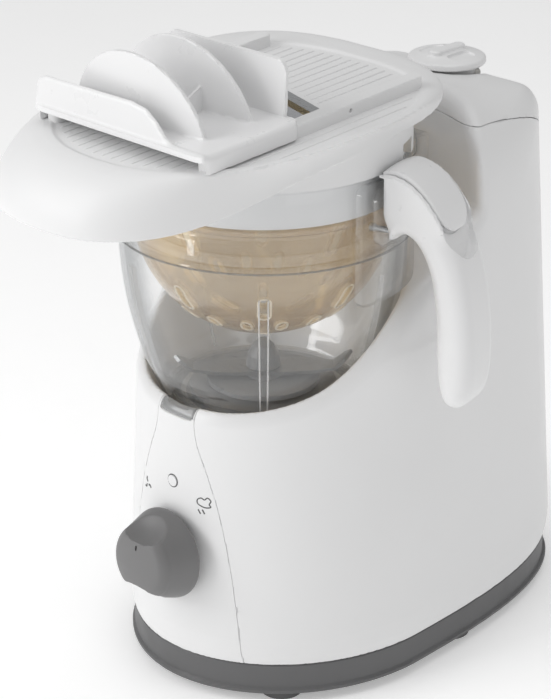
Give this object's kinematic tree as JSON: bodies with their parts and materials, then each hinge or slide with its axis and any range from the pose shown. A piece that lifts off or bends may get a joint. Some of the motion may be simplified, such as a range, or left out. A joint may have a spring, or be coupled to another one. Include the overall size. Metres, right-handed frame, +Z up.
{
  "type": "baby food maker",
  "caption": "Countertop steamer and blender for baby food: base with knob and steam tower, lift-off clear jug with handle and blade, steam basket, and a slicer with pusher on the jug mouth.",
  "frame": {"origin": "centre of the outline on the floor, under the feet", "axes": "+Z up, the knob faces -Y, the steam tower is at +Y and the jug handle points to +X"},
  "size_m": [0.2176, 0.3348, 0.3458],
  "materials": {
    "body_shell": "smooth white moulded plastic",
    "front_panel": "smooth white moulded plastic",
    "tower_cover": "smooth white moulded plastic",
    "base_tray": "satin grey plastic",
    "feet": "matt rubber",
    "base_screws": "zinc plated",
    "boiler_cap": "smooth white plastic",
    "cap_gasket": "silicone",
    "boiler_tank": "drawn stainless steel",
    "heater_plate": "cast aluminium",
    "thermostat": "phenolic",
    "steam_tube": "silicone hose",
    "steam_nozzle": "grey silicone",
    "motor_housing": "laminated steel, lacquered",
    "motor_mount": "natural nylon",
    "mount_grommets": "matt rubber",
    "motor_screws": "zinc plated",
    "motor_rotor": "steel with copper winding",
    "drive_dog": "glass filled nylon",
    "selector_switch": "moulded nylon",
    "control_knob": "satin grey plastic",
    "indicator_lens": "clear polycarbonate",
    "status_ring": "clear light pipe",
    "control_board": "circuit board",
    "interlock_switch": "moulded nylon",
    "cable_gland": "flexible strain relief",
    "mains_lead": "flexible cord",
    "jug": "clear plastic",
    "jug_floor": "dark grey plastic",
    "floor_gasket": "silicone",
    "jug_handle": "smooth white moulded plastic",
    "handle_screws": "stainless",
    "thumb_lever": "smooth white moulded plastic",
    "lever_pin": "ground steel",
    "lever_spring": "spring steel",
    "shaft_bush": "sintered bronze",
    "shaft_seal": "nitrile",
    "blade_shaft": "ground stainless steel",
    "blade_hub": "dark grey plastic",
    "chopping_blade": "stainless steel",
    "driven_dog": "glass filled nylon",
    "steam_basket": "tinted clear plastic",
    "slicer_plate": "smooth white moulded plastic",
    "slicer_insert": "stainless steel",
    "slicing_blade": "polished stainless steel",
    "julienne_teeth": "polished stainless steel",
    "food_pusher": "smooth white moulded plastic",
    "pusher_pins": "stainless steel"
  },
  "bodies": {
    "base": {"body_shell": "body_shell", "front_panel": "front_panel", "tower_cover": "tower_cover", "base_tray": "base_tray", "feet": "feet", "base_screws": "base_screws", "boiler_tank": "boiler_tank", "heater_plate": "heater_plate", "thermostat": "thermostat", "steam_tube": "steam_tube", "steam_nozzle": "steam_nozzle", "motor_housing": "motor_housing", "motor_mount": "motor_mount", "mount_grommets": "mount_grommets", "motor_screws": "motor_screws", "selector_switch": "selector_switch", "indicator_lens": "indicator_lens", "status_ring": "status_ring", "control_board": "control_board", "interlock_switch": "interlock_switch", "cable_gland": "cable_gland", "mains_lead": "mains_lead"},
    "knob": {"control_knob": "control_knob"},
    "rotor": {"motor_rotor": "motor_rotor", "drive_dog": "drive_dog"},
    "cap": {"boiler_cap": "boiler_cap", "cap_gasket": "cap_gasket"},
    "jug_body": {"jug": "jug", "jug_floor": "jug_floor", "floor_gasket": "floor_gasket", "jug_handle": "jug_handle", "handle_screws": "handle_screws", "lever_pin": "lever_pin", "lever_spring": "lever_spring", "shaft_bush": "shaft_bush", "shaft_seal": "shaft_seal"},
    "lever": {"thumb_lever": "thumb_lever"},
    "blade": {"blade_shaft": "blade_shaft", "blade_hub": "blade_hub", "chopping_blade": "chopping_blade", "driven_dog": "driven_dog"},
    "basket": {"steam_basket": "steam_basket"},
    "slicer": {"slicer_plate": "slicer_plate", "slicer_insert": "slicer_insert", "slicing_blade": "slicing_blade", "julienne_teeth": "julienne_teeth"},
    "pusher": {"food_pusher": "food_pusher", "pusher_pins": "pusher_pins"}
  },
  "joints": [
    {"name": "knob_turn", "type": "hinge", "parent": "base", "child": "knob", "pos_m": [-0.01378, -0.09755, 0.078], "axis": [0, -0.9981, 0.061], "range_deg": [-50, 50]},
    {"name": "rotor_spin", "type": "hinge", "parent": "base", "child": "rotor", "pos_m": [-0.01478, -0.02855, 0.07], "axis": [0, 0, 1], "continuous": true},
    {"name": "cap_turn", "type": "hinge", "parent": "base", "child": "cap", "pos_m": [-0.01478, 0.11145, 0.29], "axis": [0, 0, 1], "range_deg": [0, 75]},
    {"name": "jug_lift", "type": "slide", "parent": "base", "child": "jug_body", "axis": [0, 0, 1], "range_m": [0, 0.17]},
    {"name": "lever_press", "type": "hinge", "parent": "jug_body", "child": "lever", "pos_m": [0.06934, -0.01067, 0.268], "axis": [-0.2079, 0.9781, 0], "range_deg": [0, 5], "deforming": ["lever_spring"]},
    {"name": "blade_spin", "type": "hinge", "parent": "jug_body", "child": "blade", "pos_m": [-0.01478, -0.02855, 0.15], "axis": [0, 0, 1], "continuous": true},
    {"name": "slicer_lift", "type": "slide", "parent": "jug_body", "child": "slicer", "axis": [0, 0, 1], "range_m": [0, 0.22]},
    {"name": "basket_lift", "type": "slide", "parent": "jug_body", "child": "basket", "axis": [0, 0, 1], "range_m": [0, 0.1]},
    {"name": "pusher_slide", "type": "slide", "parent": "slicer", "child": "pusher", "axis": [0, 0.9987, 0.0506], "range_m": [0, 0.08]}
  ],
  "couplings": [
    {"joint": "blade_spin", "follows": "rotor_spin", "ratio": 1},
    {"joint": "basket_lift", "follows": "slicer_lift", "ratio": 0.45}
  ]
}
